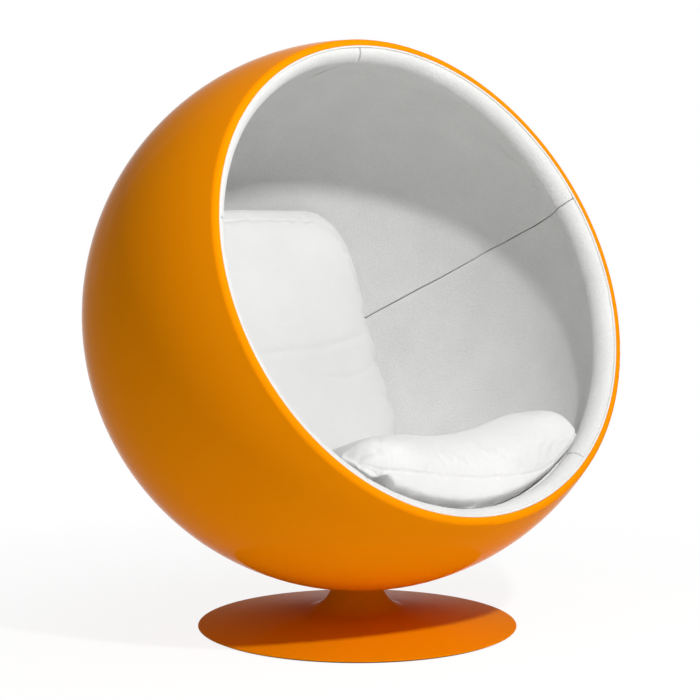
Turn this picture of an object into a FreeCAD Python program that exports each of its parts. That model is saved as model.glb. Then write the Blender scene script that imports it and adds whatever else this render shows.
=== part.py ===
"""Ball-shaped pod chair: a truncated fibreglass ball with a padded lining and two loose
cushions, turning on a spindle in a flared disc base.

Millimetres. +Z is up, the chair faces -Y, and the origin is on the swivel axis at the floor.
The ball's own pieces are made about an opening axis, local +Z, which leans back from
horizontal by opening_tilt, and are then placed in the chair. In that local frame X is the
chair's X, Y is up the opening's face and Z is out of the opening.
"""
import os

import FreeCAD
import Part

from math import acos, atan2, cos, degrees, radians, sin, sqrt

Vector = FreeCAD.Vector
AXIS_Z = Vector(0, 0, 1)
ORIGIN = Vector(0, 0, 0)

# Ball and its opening
ball_radius = 550.0
opening_tilt = 22.4
opening_offset = 243.0
shell_wall = 7.0
rim_nose_radius = 12.0
rim_flange_inset = 4.0
rim_flange_wall = 6.0
rim_flange_depth = 34.0
rim_channel_depth = 20.0

# Clearances
soft_gap = 0.3
press_gap = 0.1
running_gap = 0.05
swivel_gap = 2.0
cutter_overrun = 1.0

# Lining
liner_thickness = 39.0
gore_count = 5
first_seam_angle = 18.0
seam_gap_angle = 0.05
roll_radius = 22.0
roll_shoulder_share = 0.55
welt_radius = 2.3
welt_lift = 0.5
tacking_ring_width = 16.0
tacking_ring_depth = 12.0

# Flared base
base_radius = 324.0
base_rim_top = 6.0
base_slope = 7.9
base_wall = 4.0
base_rim_land = 34.0
neck_radius = 51.5
neck_wall = 3.5
flare_radius = 60.0
edge_round = 1.4
felt_inset = 8.0
felt_thickness = 3.0
ballast_inset = 86.0
ballast_thickness = 10.0

# Spindle and bearings
spindle_flange_radius = 80.0
spindle_flange_thickness = 10.0
spindle_shoulder_radius = 19.0
spindle_shoulder_height = 9.0
spindle_radius = 15.0
spindle_thread_radius = 10.0
spindle_thread_length = 21.0
spindle_chamfer = 1.5
bearing_outer_radius = 31.0
bearing_width = 16.0
bearing_spacing = 12.0
bearing_pitch_radius = 23.0
bearing_ball_radius = 4.76
bearing_ball_count = 9
bearing_inner_land = 20.2
bearing_outer_land = 25.8
spacer_wall = 2.5

# Swivel housing and its joint to the ball
housing_wall = 4.0
housing_shoulder = 8.0
housing_flange_radius = 46.5
housing_flange_thickness = 12.0
housing_skirt = 4.0
circlip_thickness = 1.6
circlip_depth = 1.6
circlip_width = 4.0
circlip_opening = 30.0
nut_hole_radius = 24.0
pad_thickness = 14.0
anchor_plate_radius = 92.0
anchor_plate_thickness = 6.0
anchor_pitch_radius = 40.0
anchor_count = 6
anchor_bolt_radius = 4.0
anchor_bolt_recess = 1.0
anchor_head_radius = 6.5
anchor_head_height = 8.0
anchor_washer_radius = 8.0
anchor_washer_thickness = 1.6
foam_pocket_margin = 8.0
foam_pocket_headroom = 2.0
pad_margin = 0.4
bolt_clearance = 0.5
washer_clearance = 0.3
plug_flange_radius = 28.0
plug_flange_thickness = 2.0
plug_skirt_depth = 5.0
plug_skirt_wall = 1.5

# Spindle nut and base fasteners
spindle_washer_radius = 20.0
spindle_washer_thickness = 3.0
spindle_nut_flats = 30.0
spindle_nut_height = 14.0
flange_bolt_count = 6
flange_bolt_pitch_radius = 58.0
flange_bolt_radius = 5.0
flange_bolt_head_radius = 9.5
flange_bolt_recess = 1.0
trumpet_screw_count = 6
trumpet_screw_inset = 26.0
trumpet_screw_radius = 3.0
trumpet_screw_head_radius = 6.0
trumpet_screw_reach = 5.0
trumpet_hole_spare = 0.4
trumpet_boss_radius = 9.0
trumpet_boss_bite = 1.6
socket_depth = 3.0

# Seat cushion, about the opening axis
seat_block_inset = 0.75
seat_block_half_angle = 44.0
seat_block_back = 198.0
strip_thickness = 1.2
strip_width_angle = 5.0
strip_angle = 16.0
strip_front = 150.0
strip_back = -120.0
cushion_cover = 3.0
bowl_margin = 14.0
cushion_gap = 0.4
seat_squash = 1.5
seat_turn = 2.6
zip_width = 8.0
seat_zip_half_angle = 20.0
seat_zip_height = 80.0
back_zip_height = 88.0
back_zip_half_length = 200.0
seat_overhang = 18.3
seat_back = 330.0
seat_seam_share = 0.33
seat_end_lift = 30.0
seat_end_front_pull = 60.0
seat_end_back_pull = 180.0
seat_ridge_setback = 0.4

# Seat cushion's cross-sections: angle from the middle, thickness and nearness to the end
seat_sections = [
    (0.0, 155.6, 0.0),
    (14.0, 151.6, 0.0),
    (26.0, 138.6, 0.03),
    (34.2, 112.6, 0.17),
    (38.9, 90.6, 0.42),
    (41.6, 72.6, 0.7),
    (42.9, 59.6, 0.9),
    (43.6, 47.6, 1.0),
]

# Back cushion, up the opening's face
back_depth = 271.7
back_sink = 6.0
back_front_lean = 45.0
back_crown = 26.0
back_end_crown = 4.0
back_rear_crown_share = 0.45
back_thickness = 124.0
back_end_thickness_share = 0.42
back_end_recess = 26.0
back_side_round = 30.0
back_side_share = 0.3

# Back cushion's level slices: height above its bottom, half width and nearness to an end
back_sections = [
    (0.0, 84.0, 1.0),
    (8.0, 142.0, 0.8),
    (23.0, 198.0, 0.5),
    (47.0, 241.0, 0.22),
    (81.0, 270.0, 0.06),
    (133.0, 287.0, 0.0),
    (243.0, 288.0, 0.0),
    (363.0, 279.0, 0.0),
    (453.0, 278.0, 0.02),
    (518.0, 272.0, 0.1),
    (565.0, 256.0, 0.25),
    (601.0, 230.0, 0.46),
    (623.0, 197.0, 0.72),
    (634.0, 157.0, 1.0),
]

# Sizes worked out from the ones above
nose_centre_axial = opening_offset - rim_nose_radius
nose_centre_radius = sqrt((ball_radius - rim_nose_radius) ** 2 - nose_centre_axial**2)
rim_flange_inner = nose_centre_radius - rim_flange_inset
rim_flange_outer = rim_flange_inner + rim_flange_wall
shell_inner_radius = ball_radius - shell_wall
liner_outer_radius = shell_inner_radius - soft_gap
liner_inner_radius = liner_outer_radius - liner_thickness
roll_centre_radius = rim_flange_inner - 1.5 * welt_radius
roll_centre_axial = sqrt((liner_inner_radius + roll_radius) ** 2 - roll_centre_radius**2)
flange_end_axial = opening_offset - rim_flange_depth
channel_axial = opening_offset - rim_channel_depth
felt_radius = base_radius - felt_inset
ballast_radius = base_radius - ballast_inset
trumpet_screw_pitch_radius = ballast_radius - trumpet_screw_inset
ballast_bottom = felt_thickness
ballast_top = ballast_bottom + ballast_thickness
spindle_flange_top = ballast_top + spindle_flange_thickness
lower_bearing_bottom = spindle_flange_top + spindle_shoulder_height
lower_bearing_top = lower_bearing_bottom + bearing_width
upper_bearing_bottom = lower_bearing_top + bearing_spacing
upper_bearing_top = upper_bearing_bottom + bearing_width
shell_pad_bottom = upper_bearing_top + housing_shoulder
shell_pad_top = shell_pad_bottom + pad_thickness
shell_pad_radius = housing_flange_radius + pad_margin
ball_centre_height = shell_pad_bottom + sqrt(ball_radius**2 - shell_pad_radius**2)
anchor_plate_top = shell_pad_top + anchor_plate_thickness
housing_flange_bottom = shell_pad_bottom - housing_flange_thickness
neck_top = shell_pad_bottom - swivel_gap
seat_block_radius = roll_centre_radius - roll_radius - seat_block_inset
seat_block_front = roll_centre_axial - roll_radius + soft_gap
loop_strip_radius = seat_block_radius - soft_gap - strip_thickness
hook_strip_radius = loop_strip_radius - soft_gap - strip_thickness
seat_bottom_radius = hook_strip_radius - press_gap
seat_front = roll_centre_axial + seat_overhang
seat_zip_radius = seat_bottom_radius - seat_zip_height
back_front_top = liner_inner_radius - back_depth
back_bottom = seat_sections[0][1] - seat_bottom_radius - back_sink
back_middle_axial = -back_front_top - 0.5 * back_thickness


def place_in_chair(shape):
    """Carries a piece made about the opening axis to its place in the chair."""
    turn = FreeCAD.Rotation(Vector(1, 0, 0), 90.0 - opening_tilt)
    placed = shape.copy()
    placed.transformShape(FreeCAD.Placement(Vector(0, 0, ball_centre_height), turn).toMatrix())
    return placed


def sphere_radius_at(radius, axial):
    """Radius of the circle that a sphere cuts in a plane this far from its centre."""
    return sqrt(radius**2 - axial**2)


def line(start, end):
    return Part.LineSegment(start, end).toShape()


def open_path(*points):
    """Lines from each point to the next, leaving out any of no length."""
    return [line(a, b) for a, b in zip(points, points[1:]) if (b - a).Length > 1e-6]


def arc(start, middle, end):
    return Part.Arc(start, middle, end).toShape()


def half_plane(radius, axial):
    """A point of a turned profile, in the XZ plane."""
    return Vector(radius, 0, axial)


def round_arc(centre, radius, start, end):
    """Arc in the XZ plane about a centre, from one angle to another, in degrees from +X."""
    points = []
    for angle in (start, 0.5 * (start + end), end):
        turn = radians(angle)
        points.append(centre + Vector(radius * cos(turn), 0, radius * sin(turn)))
    return arc(*points)


def turned(edges, angle=360.0, start=0.0):
    """Solid turned about the Z axis from the closed profile that these edges make."""
    face = Part.Face(Part.Wire(edges))
    solid = face.revolve(ORIGIN, AXIS_Z, angle)
    solid.rotate(ORIGIN, AXIS_Z, start)
    return as_solid(solid)


def as_solid(shape):
    """The one closed solid in a shape, facing outwards."""
    solid = shape.Solids[0] if shape.Solids else Part.Solid(shape.Shells[0])
    if solid.Volume < 0:
        solid.reverse()
    return solid


def turned_polygon(points, angle=360.0, start=0.0):
    """Solid turned about the Z axis from corners given as (radius, height)."""
    corners = [half_plane(*point) for point in points]
    edges = [line(a, b) for a, b in zip(corners, corners[1:] + corners[:1])]
    return turned(edges, angle, start)


def ring(outer, inner, bottom, top):
    """Flat ring about the Z axis."""
    return turned_polygon([(inner, bottom), (outer, bottom), (outer, top), (inner, top)])


def cylinder(radius, bottom, top, x=0.0, y=0.0):
    return Part.makeCylinder(radius, top - bottom, Vector(x, y, bottom), AXIS_Z)


def circle_points(count, radius, first=0.0):
    """Evenly spaced places on a circle about the Z axis."""
    places = []
    for index in range(count):
        turn = radians(first + 360.0 * index / count)
        places.append((radius * cos(turn), radius * sin(turn)))
    return places


def hexagon_prism(across_flats, bottom, top, x=0.0, y=0.0):
    corner_radius = across_flats / sqrt(3.0)
    corners = []
    for index in range(7):
        turn = radians(60.0 * index)
        corners.append(Vector(x + corner_radius * cos(turn), y + corner_radius * sin(turn), bottom))
    return Part.Face(Part.makePolygon(corners)).extrude(Vector(0, 0, top - bottom))


def group(solids):
    return Part.makeCompound(solids)


# Ball shell
def shell_outline():
    """Profile of the shell: outer ball, rounded nose at the opening, and inner flange."""
    nose = half_plane(nose_centre_radius, nose_centre_axial)
    nose_start = degrees(atan2(nose_centre_axial, nose_centre_radius))
    nose_end = 180.0 - degrees(acos(rim_flange_inset / rim_nose_radius))
    nose_end_point = nose + Vector(
        -rim_flange_inset, 0, sqrt(rim_nose_radius**2 - rim_flange_inset**2)
    )
    flange_end_inner = half_plane(rim_flange_inner, flange_end_axial)
    flange_end_outer = half_plane(rim_flange_outer, flange_end_axial)
    channel_inner = half_plane(rim_flange_outer, channel_axial)
    channel_outer_angle = degrees(
        atan2(channel_axial, sphere_radius_at(shell_inner_radius, channel_axial))
    )
    channel_outer = half_plane(
        sphere_radius_at(shell_inner_radius, channel_axial), channel_axial
    )
    return [
        round_arc(ORIGIN, ball_radius, -90.0, nose_start),
        round_arc(nose, rim_nose_radius, nose_start, nose_end),
        line(nose_end_point, flange_end_inner),
        line(flange_end_inner, flange_end_outer),
        line(flange_end_outer, channel_inner),
        line(channel_inner, channel_outer),
        round_arc(ORIGIN, shell_inner_radius, channel_outer_angle, -90.0),
        line(half_plane(0, -shell_inner_radius), half_plane(0, -ball_radius)),
    ]


def ball_shell():
    """Moulded ball with a flat, thickened foot where the swivel housing bolts on."""
    shell = place_in_chair(turned(shell_outline()))
    centre = Vector(0, 0, ball_centre_height)
    middle_radius = ball_radius - 0.5 * shell_wall
    pad = Part.makeSphere(middle_radius, centre).common(
        cylinder(ball_radius, 0, shell_pad_top)
    )
    shell = shell.fuse(pad)
    shell = shell.cut(cylinder(ball_radius, 0, shell_pad_bottom))
    shell = shell.cut(cylinder(nut_hole_radius, 0, anchor_plate_top))
    for x, y in circle_points(anchor_count, anchor_pitch_radius):
        hole = cylinder(anchor_bolt_radius + bolt_clearance, 0, anchor_plate_top, x, y)
        shell = shell.cut(hole)
    return as_solid(shell.removeSplitter())


# Lining
def gore_outline():
    """Profile of one upholstered gore: foam between two spheres, ending in the rim roll."""
    roll_centre = half_plane(roll_centre_radius, roll_centre_axial)
    roll_lean = degrees(atan2(roll_centre_axial, roll_centre_radius))
    roll_top = roll_centre + Vector(0, 0, roll_radius)
    back_face = rim_flange_inner - soft_gap
    ring_bottom = flange_end_axial - tacking_ring_depth - 2 * soft_gap
    shoulder = half_plane(back_face, roll_centre_axial + roll_shoulder_share * roll_radius)
    corner = half_plane(back_face, ring_bottom)
    outer_radius = sphere_radius_at(liner_outer_radius, ring_bottom)
    outer = half_plane(outer_radius, ring_bottom)
    outer_angle = degrees(atan2(ring_bottom, outer_radius))
    return [
        round_arc(roll_centre, roll_radius, 90.0, 180.0 + roll_lean),
        round_arc(ORIGIN, liner_inner_radius, roll_lean, -90.0),
        line(half_plane(0, -liner_inner_radius), half_plane(0, -liner_outer_radius)),
        round_arc(ORIGIN, liner_outer_radius, -90.0, outer_angle),
        line(outer, corner),
        line(corner, shoulder),
        line(shoulder, roll_top),
    ]


def foam_pocket():
    """Room in the lining for the anchor plate and its bolt heads."""
    top = anchor_plate_top + anchor_washer_thickness + anchor_head_height
    return cylinder(anchor_plate_radius + foam_pocket_margin, 0, top + foam_pocket_headroom)


def gore(index, welt_groove):
    """One gore of the lining, between two seams that run back from the rim to the pole."""
    span = 360.0 / gore_count
    start = first_seam_angle + span * index + seam_gap_angle
    solid = turned(gore_outline(), span - 2 * seam_gap_angle, start)
    solid = place_in_chair(solid.cut(welt_groove))
    return as_solid(solid.cut(foam_pocket()))


def welt(grow=0.0):
    """Piping between the rim's flange and the roll."""
    centre_radius = rim_flange_inner - welt_radius - soft_gap
    centre_axial = roll_centre_axial + roll_radius + welt_lift
    return Part.makeTorus(centre_radius, welt_radius + grow, Vector(0, 0, centre_axial), AXIS_Z)


def tacking_ring():
    """Plywood ring under the flange, where the lining's fabric is stapled."""
    top = flange_end_axial - soft_gap
    inner = rim_flange_inner
    outer = inner + tacking_ring_width
    return ring(outer, inner, top - tacking_ring_depth, top)


# Seat block, strips and seat cushion
def sector(inner, outer, front, back, half_angle):
    """Part of a thick tube about the opening axis, centred on its lowest line."""
    corners = [(inner, -back), (outer, -back), (outer, front), (inner, front)]
    return turned_polygon(corners, 2 * half_angle, -90.0 - half_angle)


def seat_block():
    """Foam wedge that fills the ball's bottom up to the seat cushion."""
    block = sector(
        seat_block_radius, liner_outer_radius, seat_block_front, seat_block_back,
        seat_block_half_angle,
    )
    bowl = Part.makeSphere(liner_inner_radius - soft_gap)
    return as_solid(place_in_chair(block.common(bowl)))


def strips(inner_radius):
    """A pair of hook or loop strips along the seat, lying on a cylinder."""
    pair = []
    for side in (-1, 1):
        corners = [
            (inner_radius, strip_back),
            (inner_radius + strip_thickness, strip_back),
            (inner_radius + strip_thickness, strip_front),
            (inner_radius, strip_front),
        ]
        middle = -90.0 + side * strip_angle
        start = middle - 0.5 * strip_width_angle
        pair.append(place_in_chair(turned_polygon(corners, strip_width_angle, start)))
    return group(pair)


def seat_section(angle, full_thickness, end, inset):
    """Closed profile across the seat cushion, in a plane that holds the opening axis."""
    turn = radians(angle - 90.0)
    top = seat_bottom_radius - full_thickness + inset
    bottom = seat_bottom_radius + seat_squash - seat_end_lift * end**2 - inset
    thickness = bottom - top
    front = seat_front - seat_end_front_pull * end**2.5 - inset
    back = inset - seat_back + seat_end_back_pull * end**1.6
    setback = seat_ridge_setback * thickness

    def point(radius, axial):
        return Vector(radius * cos(turn), radius * sin(turn), axial)

    def back_point(radius, axial, margin):
        return point(radius, max(axial, margin + inset - sphere_radius_at(liner_inner_radius, radius)))

    seam = point(bottom - seat_seam_share * thickness, front)
    low_front = point(bottom, front - 0.04 * thickness)
    low_back = back_point(bottom, back + 0.3 * thickness, 0.4 * bowl_margin)
    ridge = point(top + 0.03 * thickness, front - setback)
    high_back = back_point(top + 0.06 * thickness, back + 0.1 * thickness, bowl_margin)
    back_middle = back_point(bottom - 0.48 * thickness, back, 1.6 * bowl_margin)
    return Part.Wire([
        line(low_back, low_front),
        arc(low_front, point(bottom - 0.15 * thickness, front - 0.01 * thickness), seam),
        arc(seam, point(top + 0.24 * thickness, front - 0.26 * setback), ridge),
        arc(ridge, point(top, 0.5 * (front + back)), high_back),
        arc(high_back, back_middle, low_back),
    ])


def seat_form(inset=0.0):
    """Crowned seat cushion that follows the bowl below and is nearly level on top."""
    sections = []
    for angle, thickness, end in reversed(seat_sections[1:]):
        angle -= degrees(inset / seat_bottom_radius) * end
        sections.append(seat_section(-angle, thickness, end, inset))
    for angle, thickness, end in seat_sections:
        angle -= degrees(inset / seat_bottom_radius) * end
        sections.append(seat_section(angle, thickness, end, inset))
    form = as_solid(Part.makeLoft(sections, True, False))
    form.rotate(ORIGIN, AXIS_Z, seat_turn)
    form = form.common(Part.makeSphere(liner_inner_radius - soft_gap - inset))
    bottom = cylinder(seat_bottom_radius - inset, -ball_radius, ball_radius)
    return as_solid(form.common(bottom))


# Back cushion
def back_section(height, half_width, end, inset):
    """Level slice of the back cushion: crowned front, rounded sides, and a fuller back."""
    drop = (back_sections[-1][0] - height) / back_sections[-1][0]
    front_edge = -back_front_top - back_front_lean * drop
    front_edge -= back_end_recess * end**2 + inset
    crown = back_crown * (1.0 - end) + back_end_crown
    half = half_width - inset
    side = min(back_side_round, back_side_share * half)
    flat = half - side
    thickness = back_thickness * (1.0 - (1.0 - back_end_thickness_share) * end)
    back_edge = front_edge + 2 * inset - thickness
    back_middle = back_edge - back_rear_crown_share * crown
    middle = 0.5 * (front_edge + back_edge)

    def point(x, axial):
        return Vector(x, back_bottom + height, axial)

    return Part.Wire([
        arc(point(-flat, front_edge), point(0, front_edge + crown), point(flat, front_edge)),
        arc(point(flat, front_edge), point(half, middle), point(flat, back_edge)),
        arc(point(flat, back_edge), point(0, back_middle), point(-flat, back_edge)),
        arc(point(-flat, back_edge), point(-half, middle), point(-flat, front_edge)),
    ])


def back_form(inset=0.0):
    """Back cushion with a rounded top, pressed against the lining and the seat cushion."""
    sections = []
    last = len(back_sections) - 1
    for index, (height, half_width, end) in enumerate(back_sections):
        if index == 0:
            height += inset
        if index == last:
            height -= inset
        sections.append(back_section(height, half_width, end, inset))
    form = as_solid(Part.makeLoft(sections, True, False))
    form = form.common(Part.makeSphere(liner_inner_radius - soft_gap - inset))
    return as_solid(form.cut(seat_form(-cushion_gap - inset)))


def seat_zip():
    """Band at the back of the seat cushion where its cover opens."""
    inner = seat_zip_radius
    outer = inner + zip_width
    corners = [(inner, -ball_radius), (outer, -ball_radius), (outer, 0), (inner, 0)]
    return turned_polygon(corners, 2 * seat_zip_half_angle, -90.0 - seat_zip_half_angle)


def back_zip():
    """Band low on the back of the back cushion where its cover opens."""
    length = 2 * back_zip_half_length
    depth = ball_radius + back_middle_axial
    corner = Vector(-back_zip_half_length, back_bottom + back_zip_height, -ball_radius)
    return Part.makeBox(length, zip_width, depth, corner)


# Flared base
def base_top_at(radius):
    """Height of the base's sloping top face."""
    return base_rim_top + (base_radius - radius) * sin(radians(base_slope)) / cos(radians(base_slope))


def flare_profile(neck, fillet, drop):
    """Start, middle and end of the flare's arc, from the neck down to the sloping face.

    The arc is tangent to the face that lies `drop` below the base's top. It is also tangent
    to the upright neck where there is height for that, and else it runs out at the neck's top.
    """
    slope = radians(base_slope)
    rise = sin(slope) / cos(slope)
    offset = (fillet - drop) / cos(slope)
    centre_radius = neck + fillet
    start_height = base_top_at(centre_radius) + offset
    start_turn = 180.0
    if start_height > neck_top:
        depth = base_top_at(0.0) + offset - neck_top
        half = neck + rise * depth
        spread = half**2 - (1.0 + rise**2) * (neck**2 + depth**2 - fillet**2)
        centre_radius = (half + sqrt(spread)) / (1.0 + rise**2)
        centre_height = base_top_at(centre_radius) + offset
        start_turn += degrees(atan2(centre_height - neck_top, centre_radius - neck))
    centre = half_plane(centre_radius, base_top_at(centre_radius) + offset)
    points = []
    for turn in (start_turn, 0.5 * (start_turn + 270.0 - base_slope), 270.0 - base_slope):
        points.append(centre + fillet * half_plane(cos(radians(turn)), sin(radians(turn))))
    return points


def base_trumpet():
    """Flared disc with a short neck; its rim sits on the felt, and bosses take the screws."""
    neck_inner = neck_radius - neck_wall
    outer = flare_profile(neck_radius, flare_radius, 0.0)
    inner = flare_profile(neck_inner, flare_radius + base_wall, base_wall)
    land = base_radius - base_rim_land
    land_top = base_top_at(land) - base_wall / cos(radians(base_slope))
    corners = {
        "rim_low": half_plane(base_radius - edge_round, felt_thickness),
        "rim_side": half_plane(base_radius, felt_thickness + edge_round),
        "rim_high": half_plane(base_radius, base_rim_top - edge_round),
        "slope_start": half_plane(base_radius - edge_round, base_top_at(base_radius - edge_round)),
        "neck_outer": half_plane(neck_radius, neck_top),
        "neck_inner": half_plane(neck_inner, neck_top),
        "land_top": half_plane(land, land_top),
        "land_low": half_plane(land, felt_thickness),
    }
    nose = half_plane(base_radius - 0.35 * edge_round, base_rim_top - 0.35 * edge_round)
    trumpet = turned([
        line(corners["rim_low"], corners["rim_side"]),
        line(corners["rim_side"], corners["rim_high"]),
        arc(corners["rim_high"], nose, corners["slope_start"]),
        line(corners["slope_start"], outer[2]),
        arc(outer[2], outer[1], outer[0]),
        *open_path(outer[0], corners["neck_outer"], corners["neck_inner"], inner[0]),
        arc(inner[0], inner[1], inner[2]),
        line(inner[2], corners["land_top"]),
        line(corners["land_top"], corners["land_low"]),
        line(corners["land_low"], corners["rim_low"]),
    ])
    places = circle_points(trumpet_screw_count, trumpet_screw_pitch_radius)
    boss_top = base_top_at(trumpet_screw_pitch_radius + trumpet_boss_radius) - trumpet_boss_bite
    for x, y in places:
        trumpet = trumpet.fuse(cylinder(trumpet_boss_radius, ballast_top, boss_top, x, y))
    hole_top = ballast_top + trumpet_screw_reach + trumpet_hole_spare
    for x, y in places:
        hole = cylinder(
            trumpet_screw_radius + press_gap, ballast_top - cutter_overrun, hole_top, x, y
        )
        trumpet = trumpet.cut(hole)
    return as_solid(trumpet.removeSplitter())


def countersunk(head_radius, shank_radius, bottom, top, x, y, grow=0.0):
    """Countersunk screw or, grown by a clearance, its hole. Its head is at the bottom."""
    head_height = head_radius - shank_radius
    head = Part.makeCone(
        head_radius + grow, shank_radius + grow, head_height, Vector(x, y, bottom), AXIS_Z
    )
    return head.fuse(cylinder(shank_radius + grow, bottom, top, x, y))


def socket_screw(head_radius, shank_radius, bottom, top, x, y):
    screw = countersunk(head_radius, shank_radius, bottom, top, x, y)
    return as_solid(screw.cut(hexagon_prism(shank_radius, bottom, bottom + socket_depth, x, y)))


def trumpet_screws():
    top = ballast_top + trumpet_screw_reach
    return group([
        socket_screw(trumpet_screw_head_radius, trumpet_screw_radius, ballast_bottom, top, x, y)
        for x, y in circle_points(trumpet_screw_count, trumpet_screw_pitch_radius)
    ])


def spindle_bolts():
    top = spindle_flange_top - flange_bolt_recess
    return group([
        socket_screw(flange_bolt_head_radius, flange_bolt_radius, ballast_bottom, top, x, y)
        for x, y in circle_points(flange_bolt_count, flange_bolt_pitch_radius)
    ])


def ballast_plate():
    """Steel disc that holds the chair down, countersunk from below for all its screws."""
    plate = cylinder(ballast_radius, ballast_bottom, ballast_top)
    for x, y in circle_points(trumpet_screw_count, trumpet_screw_pitch_radius):
        plate = plate.cut(countersunk(
            trumpet_screw_head_radius, trumpet_screw_radius, ballast_bottom, ballast_top, x, y,
            press_gap,
        ))
    for x, y in circle_points(flange_bolt_count, flange_bolt_pitch_radius):
        plate = plate.cut(countersunk(
            flange_bolt_head_radius, flange_bolt_radius, ballast_bottom, ballast_top, x, y,
            press_gap,
        ))
    return as_solid(plate)


def spindle():
    """Fixed post: flange on the ballast, shoulder, bearing seat and threaded end."""
    thread_top = upper_bearing_top + spindle_thread_length
    post = turned_polygon([
        (0, ballast_top),
        (spindle_flange_radius, ballast_top),
        (spindle_flange_radius, spindle_flange_top),
        (spindle_shoulder_radius, spindle_flange_top),
        (spindle_shoulder_radius, lower_bearing_bottom),
        (spindle_radius, lower_bearing_bottom),
        (spindle_radius, upper_bearing_top),
        (spindle_thread_radius, upper_bearing_top),
        (spindle_thread_radius, thread_top - spindle_chamfer),
        (spindle_thread_radius - spindle_chamfer, thread_top),
        (0, thread_top),
    ])
    for x, y in circle_points(flange_bolt_count, flange_bolt_pitch_radius):
        hole = cylinder(
            flange_bolt_radius + press_gap, 0, spindle_flange_top + cutter_overrun, x, y
        )
        post = post.cut(hole)
    return as_solid(post)


# Bearings
def bearing_ring(outer, inner, bottom):
    """A bearing ring, less its groove for the balls."""
    race = Part.makeTorus(
        bearing_pitch_radius, bearing_ball_radius + running_gap,
        Vector(0, 0, bottom + 0.5 * bearing_width), AXIS_Z,
    )
    return as_solid(ring(outer, inner, bottom, bottom + bearing_width).cut(race))


def bearing_rings(outer, inner):
    return group([
        bearing_ring(outer, inner, bottom)
        for bottom in (lower_bearing_bottom, upper_bearing_bottom)
    ])


def bearing_balls():
    balls = []
    for bottom in (lower_bearing_bottom, upper_bearing_bottom):
        middle = bottom + 0.5 * bearing_width
        for x, y in circle_points(bearing_ball_count, bearing_pitch_radius):
            balls.append(Part.makeSphere(bearing_ball_radius, Vector(x, y, middle)))
    return group(balls)


def swivel_housing():
    """Bearing tube with the flange that carries the ball, and a groove for the circlip."""
    bore = bearing_outer_radius + running_gap
    outside = bore + housing_wall
    groove_top = lower_bearing_bottom - running_gap
    groove_bottom = groove_top - circlip_thickness - running_gap
    housing = turned_polygon([
        (bore, groove_bottom - housing_skirt + circlip_thickness),
        (outside, groove_bottom - housing_skirt + circlip_thickness),
        (outside, housing_flange_bottom),
        (housing_flange_radius, housing_flange_bottom),
        (housing_flange_radius, shell_pad_bottom),
        (nut_hole_radius, shell_pad_bottom),
        (nut_hole_radius, upper_bearing_top),
        (bore, upper_bearing_top),
        (bore, groove_top),
        (bore + circlip_depth, groove_top),
        (bore + circlip_depth, groove_bottom),
        (bore, groove_bottom),
    ])
    for x, y in circle_points(anchor_count, anchor_pitch_radius):
        hole = cylinder(
            anchor_bolt_radius + press_gap, 0, shell_pad_bottom + cutter_overrun, x, y
        )
        housing = housing.cut(hole)
    return as_solid(housing)


def circlip():
    """Spring ring, open on one side, that holds the lower bearing in the housing."""
    outer = bearing_outer_radius + circlip_depth
    top = lower_bearing_bottom - running_gap
    corners = [
        (outer - circlip_width, top - circlip_thickness),
        (outer, top - circlip_thickness),
        (outer, top),
        (outer - circlip_width, top),
    ]
    return turned_polygon(corners, 360.0 - circlip_opening, 0.5 * circlip_opening - 90.0)


# Anchor plate and what goes through it
def anchor_plate():
    plate = ring(anchor_plate_radius, nut_hole_radius, shell_pad_top, anchor_plate_top)
    for x, y in circle_points(anchor_count, anchor_pitch_radius):
        plate = plate.cut(cylinder(anchor_bolt_radius + bolt_clearance, 0, ball_radius, x, y))
    return as_solid(plate)


def anchor_washers():
    washers = []
    for x, y in circle_points(anchor_count, anchor_pitch_radius):
        top = anchor_plate_top + anchor_washer_thickness
        washer = cylinder(anchor_washer_radius, anchor_plate_top, top, x, y)
        washers.append(washer.cut(
            cylinder(anchor_bolt_radius + washer_clearance, anchor_plate_top, top, x, y)
        ))
    return group(washers)


def anchor_bolts():
    """Socket cap screws from inside the ball down into the housing's flange."""
    bolts = []
    head_bottom = anchor_plate_top + anchor_washer_thickness
    head_top = head_bottom + anchor_head_height
    shank_bottom = housing_flange_bottom + anchor_bolt_recess
    for x, y in circle_points(anchor_count, anchor_pitch_radius):
        bolt = cylinder(anchor_head_radius, head_bottom, head_top, x, y)
        bolt = bolt.fuse(cylinder(anchor_bolt_radius, shank_bottom, head_bottom, x, y))
        socket = hexagon_prism(1.5 * anchor_bolt_radius, head_top - socket_depth, head_top, x, y)
        bolts.append(as_solid(bolt.cut(socket)))
    return group(bolts)


def access_plug():
    """Plastic cap over the hole that gives access to the spindle's nut."""
    skirt = nut_hole_radius - press_gap
    return turned_polygon([
        (0, anchor_plate_top),
        (skirt - plug_skirt_wall, anchor_plate_top),
        (skirt - plug_skirt_wall, anchor_plate_top - plug_skirt_depth),
        (skirt, anchor_plate_top - plug_skirt_depth),
        (skirt, anchor_plate_top),
        (plug_flange_radius, anchor_plate_top),
        (plug_flange_radius, anchor_plate_top + plug_flange_thickness),
        (0, anchor_plate_top + plug_flange_thickness),
    ])


def spindle_washer():
    top = upper_bearing_top + spindle_washer_thickness
    return ring(spindle_washer_radius, spindle_thread_radius + press_gap, upper_bearing_top, top)


def spindle_nut():
    bottom = upper_bearing_top + spindle_washer_thickness
    top = bottom + spindle_nut_height
    nut = hexagon_prism(spindle_nut_flats, bottom, top)
    return as_solid(nut.cut(cylinder(spindle_thread_radius + press_gap, bottom, top)))


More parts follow.
